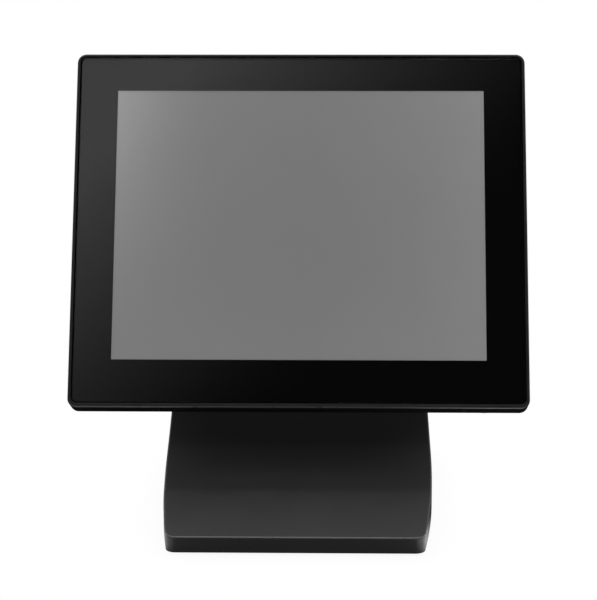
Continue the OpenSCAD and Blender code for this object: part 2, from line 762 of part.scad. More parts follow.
front_bezel();
touch_glass();
glass_border_print();
glass_adhesive();
lcd_frame();
lcd_panel();
lcd_brackets();
chassis_plate();
chassis_screws();
bracket_posts();
board_standoffs();
main_board();
board_screws();
processor();
heat_sink();
memory_socket();
memory_module();
cmos_battery();
io_connectors();
io_plate();
drive_tray();
solid_state_drive();
display_cable();
touch_controller();
speakers();
power_switch();
power_button();
status_led_lens();
rear_cover();
rear_cover_screws();
io_cover();
drive_door();
door_screws();
tilt_bracket();
tilt_bracket_screws();
stand_cover();
base_plate();
base_plate_screws();
ballast_weight();
rubber_feet();
support_frame();
frame_bolts();
hinge_bracket();
hinge_bracket_bolts();
hinge_pins();
hinge_washers();
hinge_nuts();
hinge_cover();
cable_cover();
cable_clips();
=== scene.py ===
"""A desk touch-screen terminal: a tilted head with a glass front on a swept, hollow stand.

The front faces -Y, +X is to the right as seen from the front, and the stand is centred on the
origin with the floor at z = 0. The head's own frame has its origin on the front of the rim: x
runs across, y into the head and z up the tilted glass. The stand's frame has y = 0 at its front.
Lengths are in millimetres unless a comment says metres. Materials and camera use metres.
"""

import math

import bmesh
import bpy
import numpy as np
from mathutils import Matrix, Vector


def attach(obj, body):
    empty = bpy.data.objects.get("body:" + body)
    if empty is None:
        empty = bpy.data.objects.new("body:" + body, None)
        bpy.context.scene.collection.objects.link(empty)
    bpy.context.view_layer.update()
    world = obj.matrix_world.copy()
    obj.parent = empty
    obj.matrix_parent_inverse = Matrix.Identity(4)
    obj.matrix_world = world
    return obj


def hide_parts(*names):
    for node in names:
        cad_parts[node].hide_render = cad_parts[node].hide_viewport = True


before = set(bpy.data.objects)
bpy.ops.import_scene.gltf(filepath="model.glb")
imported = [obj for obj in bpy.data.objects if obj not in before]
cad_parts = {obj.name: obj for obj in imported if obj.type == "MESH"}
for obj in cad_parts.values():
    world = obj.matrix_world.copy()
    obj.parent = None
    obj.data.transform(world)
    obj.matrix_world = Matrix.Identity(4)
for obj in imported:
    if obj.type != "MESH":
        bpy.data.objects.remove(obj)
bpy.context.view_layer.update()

MM = 0.001
TILT = math.radians(28.0)  # how far the head leans back
SCREEN_Y, SCREEN_Z = 68.4, 217.7  # where the head's frame has its origin
HEAD = Matrix.Translation((0, SCREEN_Y * MM, SCREEN_Z * MM)) @ Matrix.Rotation(-TILT, 4, "X")
DEPTH = 232.0  # the stand, front to back
STAND_FRONT = -DEPTH / 2
STAND = Matrix.Translation((0, STAND_FRONT * MM, 0))


# ------------------------------------------------------------------ shader helpers
class Graph:
    """Adds shader nodes. An input takes a value or another node's output."""

    def __init__(self, tree):
        self.tree = tree

    def feed(self, socket, value):
        if isinstance(value, bpy.types.NodeSocket):
            self.tree.links.new(value, socket)
        else:
            socket.default_value = value

    def add(self, kind, inputs=None, **settings):
        node = self.tree.nodes.new("ShaderNode" + kind)
        for key, value in settings.items():
            setattr(node, key, value)
        for key, value in (inputs or {}).items():
            self.feed(node.inputs[key], value)
        return node

    def math(self, operation, *values):
        return self.add("Math", dict(enumerate(values)), operation=operation).outputs[0]

    def times(self, first, second):
        return self.math("MULTIPLY", first, second)

    def plus(self, first, second):
        return self.math("ADD", first, second)

    def ramp(self, value, start, end, low=0.0, high=1.0):
        """Goes from low to high while the value goes from start to end."""
        inputs = {"From Min": start, "From Max": end, "To Min": low, "To Max": high}
        return self.add("MapRange", {**inputs, "Value": value}).outputs["Result"]

    def noise(self, place, scale, detail=3.0, rough=0.5, stretch=None):
        if stretch is not None:
            place = self.add("Mapping", {"Scale": stretch, "Vector": place}).outputs["Vector"]
        inputs = {"Scale": scale, "Detail": detail, "Roughness": rough, "Vector": place}
        return self.add("TexNoise", inputs).outputs["Fac"]

    def mix(self, kind, factor, first, second):
        inputs = {"Factor": factor, "A": first, "B": second}
        return self.add("Mix", inputs, data_type=kind).outputs["Result"]

    def mix_shader(self, factor, first, second):
        return self.add("MixShader", {"Fac": factor, 1: first, 2: second}).outputs[0]

    def split(self, vector):
        return self.add("SeparateXYZ", {0: vector}).outputs

    def object_place(self):
        return self.add("TexCoord").outputs["Object"]


def new_material(name, principled=True):
    mat = bpy.data.materials.new(name)
    mat.use_nodes = True
    nodes = mat.node_tree.nodes
    if not principled:
        nodes.remove(nodes["Principled BSDF"])
    return mat, Graph(mat.node_tree)


# ------------------------------------------------------------------ materials
def finish(name, base, rough=0.5, metal=0.0, vary=0.12, grain=900.0, bump=0.05, depth=0.0002,
           uneven=0.08, spec=0.5, coat=0.0, stretch=None, wear=None, worn=0.0):
    """A finish with mottled colour, uneven roughness and a fine grain.

    vary and uneven are the spread of the colour and the roughness, grain is the scale of the
    fine noise, stretched by stretch, and wear is the colour of spots of strength worn.
    """
    mat, g = new_material(name)
    surface = g.tree.nodes["Principled BSDF"]
    place = g.object_place()
    big = g.noise(place, scale=14.0)
    fine = g.noise(place, scale=grain, detail=2.0, rough=0.6, stretch=stretch)
    mottle = g.plus(g.times(big, 0.6), g.times(fine, 0.4))
    darker = (*[max(0.0, c * (1 - vary)) for c in base], 1)
    lighter = (*[min(1.0, c * (1 + vary)) for c in base], 1)
    colour = g.mix("RGBA", g.ramp(mottle, 0.3, 0.7), darker, lighter)
    if wear is not None:
        spots = g.ramp(g.noise(place, scale=160.0, detail=5.0, rough=0.7), 0.58, 0.72, high=worn)
        colour = g.mix("RGBA", spots, colour, (*wear, 1))
    smears = g.noise(place, scale=45.0, detail=4.0)
    roughness = g.ramp(smears, 0.3, 0.7, max(0.02, rough - uneven), min(1.0, rough + uneven))
    relief = g.add("Bump", {"Strength": bump, "Distance": depth, "Height": fine})
    for key, value in {"Base Color": colour, "Roughness": roughness, "Metallic": metal,
                       "Specular IOR Level": spec, "Coat Weight": coat,
                       "Normal": relief.outputs["Normal"]}.items():
        g.feed(surface.inputs[key], value)
    return mat


def glass_material():
    """Cover glass without refraction, clear from straight on and a mirror at a slant."""
    straight_on = 0.04  # reflectance of either face of the pane
    mat, g = new_material("cover_glass", principled=False)
    place = g.object_place()
    clear = g.add("BsdfTransparent", {"Color": (0.968, 0.968, 0.968, 1)})
    smears = g.ramp(g.noise(place, scale=18.0, detail=4.0), 0.35, 0.7, low=0.01, high=0.05)
    gloss = g.add("BsdfGlossy", {"Color": (1, 1, 1, 1), "Roughness": smears})
    facing = g.add("LayerWeight", {"Blend": 0.5}).outputs["Facing"]
    slant = g.times(g.math("POWER", facing, 5.0), 1 - straight_on)
    both = g.mix_shader(g.plus(slant, straight_on), clear.outputs[0], gloss.outputs[0])
    g.feed(g.tree.nodes["Material Output"].inputs["Surface"], both)
    return mat


def screen_material():
    """The display: an even, dim grey, with painted light that makes it lighter towards its upper
    corners and its foot.
    """
    top, foot = 0.318, 0.117  # heights in metres
    edge = 0.152  # half the width in metres
    left_painted_light, right_painted_light, foot_painted_light = 0.62, 0.42, 0.13  # painted light added to the grey
    mat = finish("screen_grey_painted_light", (0.45, 0.45, 0.45), rough=0.55, vary=0.02, grain=5200.0,
                 bump=0.02, depth=0.00005, uneven=0.04, spec=0.35)
    g = Graph(mat.node_tree)
    surface = g.tree.nodes["Principled BSDF"]
    base = surface.inputs["Base Color"].links[0].from_socket
    # painted light: these masks lighten the grey towards the upper left, the upper right and the
    # foot
    x, _, z = g.split(g.object_place())
    down = g.ramp(z, top, foot)
    up = g.math("SUBTRACT", 1.0, down)
    left = g.ramp(x, -0.062, -edge)
    right = g.ramp(x, -0.05, edge)
    left = g.times(g.math("POWER", left, 2.0), g.times(g.math("POWER", up, 1.5), left_painted_light))
    fade = g.math("SUBTRACT", 1.0, g.times(down, 0.6))
    right = g.times(g.math("POWER", right, 2.0), g.times(fade, right_painted_light))
    low = g.times(g.math("POWER", down, 3.0), foot_painted_light)
    painted_light_gain = g.plus(g.plus(left, right), g.plus(low, 1.0))
    picture_and_painted_light = g.add("VectorMath", operation="SCALE")
    g.feed(picture_and_painted_light.inputs[0], base)
    g.feed(picture_and_painted_light.inputs["Scale"], painted_light_gain)
    g.feed(surface.inputs["Base Color"], picture_and_painted_light.outputs[0])
    # the glow carries the painted light as well
    g.feed(surface.inputs["Emission Color"], picture_and_painted_light.outputs[0])
    surface.inputs["Emission Strength"].default_value = 0.14
    return mat


MAT = {
    "rim": finish("rim_satin", (0.021, 0.021, 0.0213), rough=0.36, vary=0.08, grain=2600.0,
                  bump=0.06, depth=0.0001, spec=0.45),
    # painted highlight: a lighter copy of the rim's finish for its rounded outer front edge
    "rim_painted_highlight": finish("rim_painted_highlight", (0.05, 0.05, 0.051), rough=0.3, vary=0.08, grain=2600.0,
                       bump=0.03, depth=0.0001, spec=0.8),
    # painted shade: a near-black copy of the rim's finish for its walls, its ledge and the ground
    # edge of the glass
    "rim_painted_shade": finish("rim_painted_shade", (0.006, 0.006, 0.006), rough=0.7, vary=0.15, grain=2600.0,
                       bump=0.08, depth=0.0001, spec=0.12),
    # painted highlight: a lighter copy of the stand's finish for the rounding along the top of its
    # front
    "stand_painted_highlight": finish("stand_painted_highlight", (0.16, 0.16, 0.163), rough=0.3, vary=0.08, grain=2600.0,
                         bump=0.03, depth=0.0001, spec=0.8),
    "stand": finish("stand_satin", (0.052, 0.052, 0.05304), rough=0.5, vary=0.07, grain=2600.0,
                    bump=0.12, depth=0.00012, uneven=0.05, spec=0.4),
    "back": finish("back_textured", (0.055, 0.055, 0.056), rough=0.6, vary=0.1, grain=1700.0,
                   bump=0.35, depth=0.0003, uneven=0.06, spec=0.4),
    "ink": finish("border_ink", (0.0031, 0.0031, 0.0031), rough=0.5, vary=0.1, grain=3000.0,
                  bump=0.01, spec=0.06),
    "foam": finish("foam", (0.03, 0.03, 0.03), rough=0.95, vary=0.2, grain=2500.0, bump=0.5,
                   depth=0.0004, spec=0.1),
    "steel": finish("zinc_steel", (0.55, 0.56, 0.57), rough=0.38, metal=1.0, vary=0.1,
                    grain=500.0, bump=0.04, stretch=(1, 6, 0.2), uneven=0.12,
                    wear=(0.3, 0.3, 0.31), worn=0.35),
    "screw": finish("screw_plate", (0.3, 0.3, 0.31), rough=0.33, metal=1.0, vary=0.12,
                    grain=1400.0, bump=0.05, wear=(0.5, 0.5, 0.5), worn=0.4),
    "brass": finish("brass_turned", (0.68, 0.49, 0.2), rough=0.3, metal=1.0, vary=0.12,
                    grain=900.0, bump=0.04, stretch=(1, 8, 1)),
    "pcb": finish("solder_mask", (0.012, 0.09, 0.045), rough=0.35, vary=0.35, grain=700.0,
                  bump=0.25, depth=0.0002, coat=0.3, wear=(0.1, 0.16, 0.07), worn=0.5),
    "lid": finish("chip_lid", (0.5, 0.5, 0.52), rough=0.32, metal=1.0, vary=0.08, grain=800.0,
                  bump=0.03, stretch=(8, 1, 1)),
    "fins": finish("fin_aluminium", (0.68, 0.69, 0.71), rough=0.36, metal=1.0, vary=0.08,
                   grain=400.0, bump=0.06, stretch=(0.3, 1, 9)),
    "socket": finish("socket_plastic", (0.02, 0.02, 0.02), rough=0.5, vary=0.2, grain=1500.0,
                     bump=0.1),
    "can": finish("battery_can", (0.7, 0.7, 0.71), rough=0.18, metal=1.0, vary=0.05, grain=600.0,
                  bump=0.02, wear=(0.4, 0.4, 0.4), worn=0.3),
    "shell": finish("socket_shell", (0.62, 0.62, 0.63), rough=0.25, metal=1.0, vary=0.08,
                    grain=900.0, bump=0.03),
    "drive": finish("drive_paint", (0.03, 0.03, 0.034), rough=0.4, vary=0.15, grain=1200.0,
                    bump=0.12, wear=(0.2, 0.2, 0.2), worn=0.2),
    "ribbon": finish("ribbon", (0.05, 0.05, 0.055), rough=0.4, vary=0.3, grain=60.0, bump=0.2,
                     stretch=(40, 0.1, 0.1)),
    "speaker": finish("speaker_case", (0.015, 0.015, 0.015), rough=0.6, vary=0.2, grain=1500.0,
                      bump=0.2),
    "button": finish("button_matt", (0.012, 0.012, 0.012), rough=0.6, vary=0.1, grain=1500.0,
                     bump=0.05, spec=0.15, wear=(0.03, 0.03, 0.03), worn=0.2),
    "lens": finish("lamp_lens", (0.35, 0.55, 0.42), rough=0.2, vary=0.1, grain=900.0, bump=0.03,
                   coat=0.5),
    "bracket": finish("powder_coat", (0.045, 0.045, 0.047), rough=0.5, vary=0.12, grain=1300.0,
                      bump=0.5, depth=0.0003, wear=(0.2, 0.2, 0.2), worn=0.12),
    "plate": finish("base_paint", (0.04, 0.04, 0.042), rough=0.55, vary=0.15, grain=1200.0,
                    bump=0.25, wear=(0.14, 0.14, 0.14), worn=0.2),
    "iron": finish("cast_iron", (0.06, 0.06, 0.062), rough=0.75, metal=0.6, vary=0.25,
                   grain=420.0, bump=0.7, depth=0.0006, wear=(0.12, 0.07, 0.05), worn=0.3),
    "rubber": finish("foot_rubber", (0.015, 0.015, 0.015), rough=0.85, vary=0.25, grain=1400.0,
                     bump=0.3, spec=0.2, wear=(0.08, 0.08, 0.08), worn=0.25),
    "pin": finish("hinge_steel", (0.5, 0.5, 0.52), rough=0.24, metal=1.0, vary=0.08, grain=600.0,
                  bump=0.04, stretch=(9, 1, 1)),
    "screen": screen_material(),
    "glass": glass_material(),
}

# ------------------------------------------------------------------ the CAD pieces
# material, slot, pieces
LOOKS = [
    ("rim", "rim_plastic", "front_bezel"),
    ("glass", "touch_glass", "touch_glass"),
    ("ink", "border_ink", "glass_border_print"),
    ("foam", "foam_tape", "glass_adhesive"),
    ("steel", "sheet_steel", "lcd_frame lcd_brackets chassis_plate bracket_posts io_plate "
                             "drive_tray support_frame"),
    ("screen", "screen", "lcd_panel"),
    ("screw", "screws", "chassis_screws board_screws rear_cover_screws door_screws "
                        "tilt_bracket_screws base_plate_screws frame_bolts hinge_bracket_bolts"),
    ("brass", "brass_posts", "board_standoffs"),
    ("pcb", "circuit_board", "main_board memory_module touch_controller power_switch"),
    ("lid", "chip_lid", "processor"),
    ("fins", "aluminium_fins", "heat_sink"),
    ("socket", "socket_plastic", "memory_socket cable_clips"),
    ("can", "battery_steel", "cmos_battery"),
    ("shell", "socket_metal", "io_connectors"),
    ("drive", "drive_case", "solid_state_drive"),
    ("ribbon", "ribbon", "display_cable"),
    ("speaker", "speaker_case", "speakers"),
    ("button", "button_plastic", "power_button"),
    ("lens", "lamp_lens", "status_led_lens"),
    ("back", "cover_plastic", "rear_cover io_cover drive_door"),
    ("bracket", "bracket_paint", "tilt_bracket hinge_bracket"),
    ("stand", "stand_plastic", "stand_cover hinge_cover cable_cover"),
    ("plate", "base_paint", "base_plate"),
    ("iron", "ballast_iron", "ballast_weight"),
    ("rubber", "foot_rubber", "rubber_feet"),
    ("pin", "hinge_steel", "hinge_pins hinge_washers hinge_nuts"),
]
LOOK_OF = {piece: (look, slot) for look, slot, pieces in LOOKS for piece in pieces.split()}

# how far a piece's edges are rounded, where it isn't the usual width
USUAL_ROUND = 0.25
ROUND = {
    "rear_cover": 0.8, "io_cover": 0.35, "drive_door": 0.35, "tilt_bracket": 0.5,
    "hinge_bracket": 0.5, "hinge_cover": 0.6, "cable_cover": 0.35, "base_plate": 0.2,
    "ballast_weight": 0.8, "rubber_feet": 0.5, "hinge_nuts": 0.4, "hinge_pins": 0.4,
    "power_button": 0.4, "heat_sink": 0.15, "lcd_panel": 0.0, "display_cable": 0.1,
    "io_connectors": 0.12, "io_plate": 0.1,
}
REBUILT = ("front_bezel", "touch_glass", "glass_border_print", "stand_cover")


def round_edges(obj, width):
    weld = obj.modifiers.new("weld", "WELD")
    weld.merge_threshold = 2e-6
    if width:
        bevel = obj.modifiers.new("bevel", "BEVEL")
        bevel.width = width * MM
        bevel.segments = 2
        bevel.limit_method = "ANGLE"
        bevel.angle_limit = math.radians(38)
        bevel.harden_normals = True
        bevel.use_clamp_overlap = True
        bevel.miter_outer = "MITER_ARC"


for piece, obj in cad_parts.items():
    look, slot = LOOK_OF[piece]
    obj.data.materials.clear()
    obj.data.materials.append(MAT[look])


# ------------------------------------------------------------------ mesh helpers
def make(name, verts, faces, materials, matrix=None, smooth=None, index=None):
    """Makes an object from points in metres. Edges sharper than smooth degrees stay sharp."""
    mesh = bpy.data.meshes.new(name)
    mesh.from_pydata([tuple(v) for v in verts], [], [tuple(f) for f in faces])
    bm = bmesh.new()
    bm.from_mesh(mesh)
    if index is not None:
        for face, k in zip(bm.faces, index, strict=True):
            face.material_index = k
    bmesh.ops.remove_doubles(bm, verts=bm.verts, dist=1e-7)
    bmesh.ops.recalc_face_normals(bm, faces=bm.faces)
    bm.to_mesh(mesh)
    bm.free()
    if matrix is not None:
        mesh.transform(matrix)
    mesh.shade_smooth()
    if smooth:
        mesh.set_sharp_from_angle(angle=math.radians(smooth))
    for mat in materials:
        mesh.materials.append(mat)
    obj = bpy.data.objects.new(name, mesh)
    bpy.context.scene.collection.objects.link(obj)
    return obj


def loft(rings, closed=False, caps=False):
    """Joins rings of points, the last one back to the first if closed, or with flat ends."""
    n = len(rings[0])
    verts = [tuple(c * MM for c in p) for ring in rings for p in ring]
    faces = []
    pairs = [(i, i + 1) for i in range(len(rings) - 1)]
    if closed:
        pairs.append((len(rings) - 1, 0))
    for a, b in pairs:
        for i in range(n):
            j = (i + 1) % n
            faces.append((a * n + i, a * n + j, b * n + j, b * n + i))
    if caps:
        faces.append(tuple(range(n)))
        faces.append(tuple(reversed(range((len(rings) - 1) * n, len(rings) * n))))
    return verts, faces


def solid_boxes(name, boxes, matrix):
    corners = ((0, 1, 3, 2), (4, 6, 7, 5), (0, 4, 5, 1), (2, 3, 7, 6), (0, 2, 6, 4), (1, 5, 7, 3))
    verts, faces = [], []
    for low, high in boxes:
        start = len(verts)
        verts += [(x * MM, y * MM, z * MM)
                  for x in (low[0], high[0]) for y in (low[1], high[1]) for z in (low[2], high[2])]
        faces += [tuple(start + i for i in face) for face in corners]
    return make(name, verts, faces, [MAT["rim"]], matrix)


def solid_round(name, x, y, radius, low, high, matrix, n=48):
    turns = [2 * math.pi * i / n for i in range(n)]
    rings = [[(x + radius * math.cos(a), y + radius * math.sin(a), z) for a in turns]
             for z in (low, high)]
    return make(name, *loft(rings, caps=True), [MAT["rim"]], matrix)


def cut(obj, cutters, smooth):
    """Takes the cutters' volume out of obj for good, and removes them."""
    for cutter in cutters:
        mod = obj.modifiers.new("cut", "BOOLEAN")
        mod.operation = "DIFFERENCE"
        mod.solver = "EXACT"
        mod.object = cutter
    graph = bpy.context.evaluated_depsgraph_get()
    mesh = bpy.data.meshes.new_from_object(obj.evaluated_get(graph), depsgraph=graph)
    obj.modifiers.clear()
    obj.data = mesh
    for cutter in cutters:
        bpy.data.objects.remove(cutter)
    mesh.set_sharp_from_angle(angle=math.radians(smooth))


def stand_in(obj, body, piece):
    """Puts obj in the place of a CAD piece."""
    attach(obj, body)
    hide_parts(piece)


def level(obj):
    """Large faces keep their own direction, and the small rounding faces take up the bend."""
    mod = obj.modifiers.new("level", "WEIGHTED_NORMAL")
    mod.weight = 100
    mod.keep_sharp = True


# ------------------------------------------------------------------ head: rim, glass, print
RIM_HALF, RIM_TOP, RIM_FOOT = 186.3, 145.0, -154.1
RIM_DEPTH = 20.0
RIM_ROUND = 1.15  # rounding of the rim's outer front edge
LEDGE_FRONT, LEDGE_BACK = 4.2, 6.2  # the inner ledge behind the glass
OPEN_HALF, OPEN_TOP, OPEN_FOOT = RIM_HALF - 2.6, RIM_TOP - 2.1, RIM_FOOT + 3.8
GLASS_GAP = 1.0  # between the rim and the pane


def rounded(half, foot, top, radius, y, n=14):
    """A rounded rectangle in the head's plane, at depth y, as a closed ring of points."""
    points = []
    right, high, low = half - radius, top - radius, foot + radius
    for x, z, start in ((right, high, 0), (-right, high, 90), (-right, low, 180), (right, low, 270)):
        for i in range(n + 1):
            a = math.radians(start + 90 * i / n)
            points.append((x + radius * math.cos(a), y, z + radius * math.sin(a)))
    return points


def rim_outline(inset, y):
    return rounded(RIM_HALF - inset, RIM_FOOT + inset, RIM_TOP - inset, 7.5 - 0.8 * inset, y)


def opening(grow, y):
    return rounded(OPEN_HALF + grow, OPEN_FOOT - grow, OPEN_TOP + grow, 5.0 + grow, y)


def pane(inset, y):
    return opening(-GLASS_GAP - inset, y)


def bezel():
    rings = [rim_outline(0.25, RIM_DEPTH), rim_outline(0.0, RIM_DEPTH - 0.25),
             rim_outline(0.0, RIM_ROUND)]
    rings += [rim_outline(RIM_ROUND * (1 - math.cos(a)), RIM_ROUND * (1 - math.sin(a)))
              for a in np.radians([18, 36, 54, 72, 90])]
    rings += [opening(0.22, 0.0), opening(0.06, 0.06), opening(0.0, 0.22),
              opening(0.0, LEDGE_FRONT)]
    rings += [rounded(164.5, -128, 128, 1.5, y) for y in (LEDGE_FRONT, LEDGE_BACK)]
    rings += [opening(0.0, LEDGE_BACK), opening(0.0, RIM_DEPTH)]
    verts, faces = loft(rings, closed=True)
    # band of faces after a ring: 1 for the rounded edge, which gets a painted highlight, 2 for the
    # outer wall, the inner wall and the ledge, which get painted shade
    painted_light_bands = {1: 2, 2: 1, 3: 1, 4: 1, 5: 1, 6: 1, 10: 2, 11: 2}
    index = [painted_light_bands.get(i // len(rings[0]), 0) for i in range(len(faces))]
    obj = make("front_bezel_shell", verts, faces, [MAT["rim"], MAT["rim_painted_highlight"], MAT["rim_painted_shade"]],
               HEAD, smooth=30, index=index)
    # two rows of slots and two round holes in the lower wall
    low, high = -158, -148
    slots = []
    for side in (-1, 1):
        for i in range(6):
            x = side * 110 - 11 + i * 4
            slots.append(((x, 8, low), (x + 1.6, 14.5, high)))
    cut(obj, [solid_boxes("wall_slots", slots, HEAD),
              solid_round("large_hole", 150, 12, 5.2, low, high, HEAD),
              solid_round("small_hole", 134, 12, 1.6, low, high, HEAD)], smooth=30)
    stand_in(obj, "head", "front_bezel")
    level(obj)


def glass():
    rings = [pane(0.16, 0.2), pane(0.05, 0.25), pane(0, 0.36), pane(0, 3.0), pane(0.2, 3.2)]
    verts, faces = loft(rings, caps=True)
    # the band of the ground edge gets painted shade, the near-black material of the rim's walls
    index = [int(i // len(rings[0]) == 2) for i in range(len(faces))]
    obj = make("touch_glass_pane", verts, faces, [MAT["glass"], MAT["rim_painted_shade"]], HEAD,
               smooth=25, index=index)
    stand_in(obj, "head", "touch_glass")
    level(obj)


def border():
    """The printed frame behind the glass, with a window for the display."""
    front, back = 3.22, 3.4
    window = [rounded(152.05, -114.05, 114.05, 0.3, y) for y in (front, back)]
    verts, faces = loft([pane(0.05, front), *window, pane(0.05, back)], closed=True)
    obj = make("printed_border", verts, faces, [MAT["ink"]], HEAD, smooth=30)
    stand_in(obj, "head", "glass_border_print")


bezel()
glass()
border()

# ------------------------------------------------------------------ stand
# In profile, from the front: a foot with a gently rising top, a concave sweep up to the neck,
# the neck's round top, and a straight back down to the skirt.
SWEEP_R, NECK_R = 110.0, 15.2
FLAT, SLOPE = 90.0, math.radians(4)  # length and rise of the foot's top
TOP, SKIRT = 15.1, 2.2  # heights of the foot's front edge and of the open bottom
SHELL = 3.0  # wall thickness
SWEEP_MID = np.array([FLAT - SWEEP_R * math.sin(SLOPE),
                      TOP + FLAT * math.tan(SLOPE) + SWEEP_R * math.cos(SLOPE)])
# the middle of the neck's top, fixed in the head's frame
NECK_BEHIND, NECK_BELOW = 62, 60
NECK_MID = np.array([
    SCREEN_Y + NECK_BEHIND * math.cos(TILT) - NECK_BELOW * math.sin(TILT) - STAND_FRONT,
    SCREEN_Z - NECK_BEHIND * math.sin(TILT) - NECK_BELOW * math.cos(TILT)])
# directions of the tangents from the sweep to the neck and from the neck to the back's foot
_span = NECK_MID - SWEEP_MID
NECK_TURN = (math.atan2(_span[1], _span[0])
             - math.acos((SWEEP_R + NECK_R) / np.linalg.norm(_span)))
_fall = np.array([DEPTH, SKIRT]) - NECK_MID
BACK_TURN = math.acos(NECK_R / np.linalg.norm(_fall)) + math.atan2(_fall[1], _fall[0])
# in plan, each side is a wide arc that meets the front in a small round corner
SIDE_R, SIDE_MID, HALF = 1032.0, 146.5, 109.0
SIDE_LEAN = math.tan(math.radians(4.2))
CORNER_R = 8.0
_reach = math.sqrt((SIDE_R - CORNER_R) ** 2 - (SIDE_MID - CORNER_R) ** 2)
CORNER_X = HALF - SIDE_R + _reach
CORNER_TURN = math.pi / 2 - math.atan2(SIDE_MID - CORNER_R, _reach)
# counts
CORNER_ROWS, COLUMNS, ROUND_STEPS, WALL_STEPS = 9, 25, 7, 12


def direction(angle):
    return np.array([math.cos(angle), math.sin(angle)])


def half_width(y, height, inset):
    """Half the stand's width: the softened lesser of its arc in plan and its leaning side."""
    plan = HALF - SIDE_R + math.sqrt(SIDE_R ** 2 - (y - SIDE_MID) ** 2) - inset
    lean = HALF + 0.3 - (height - 23.0) * SIDE_LEAN - inset
    gap = plan - lean
    return 0.5 * (plan + lean - math.sqrt(gap * gap + 0.6))


def stand_rows(inset, front_round):
    """Rows from front to back as (y, height, inward normal, turn round the front corner or
    None), and the number of the row at the top of the neck."""
    rows = []

    def foot_row(y, turn=None):
        height = TOP + y * math.tan(SLOPE) - inset / math.cos(SLOPE)
        rows.append((y, height, (0.0, -1.0), turn))

    for i in range(CORNER_ROWS):
        turn = CORNER_TURN * i / (CORNER_ROWS - 1)
        foot_row(CORNER_R - (CORNER_R - inset - front_round) * math.cos(turn), turn)
    for y in np.linspace(14, FLAT - 4, 12):
        foot_row(float(y))
    for a in np.linspace(SLOPE, math.pi / 2 + NECK_TURN, 30):
        out = np.array([math.sin(a), -math.cos(a)])
        y, height = SWEEP_MID + (SWEEP_R + inset) * out
        # the normal eases from straight down to the sweep's own
        ease = min(1.0, (a - SLOPE) / math.radians(12))
        normal = out * ease + np.array([0.0, -1.0]) * (1 - ease)
        normal /= np.linalg.norm(normal)
        rows.append((y, height, tuple(normal), None))
    normal = direction(NECK_TURN)
    start = SWEEP_MID + (SWEEP_R + inset) * normal
    end = NECK_MID - (NECK_R - inset) * normal
    for i in range(1, 4):
        rows.append((*(start + (end - start) * i / 4), tuple(normal), None))
    first = math.pi + NECK_TURN
    for i in range(19):
        out = direction(first + (BACK_TURN - first) * i / 18)
        rows.append((*(NECK_MID + (NECK_R - inset) * out), tuple(-out), None))
    top_row = len(rows) - 10
    out = direction(BACK_TURN)
    start = NECK_MID + (NECK_R - inset) * out
    end = np.array([DEPTH - inset, SKIRT])
    for s in np.linspace(0, 1, 24)[1:]:
        rows.append((*(start + (end - start) * s), tuple(-out), None))
    return rows, top_row


def edge_radius(k, top_row, front, side, back):
    """The edge's rounding at row k: front, then side along the foot, then back."""
    base = front + (side - front) * min(1.0, max(0.0, (k - CORNER_ROWS + 1) / 6.0))
    ease = min(1.0, max(0.0, (k - top_row + 8) / 10.0))
    return base + (back - base) * ease * ease * (3 - 2 * ease)


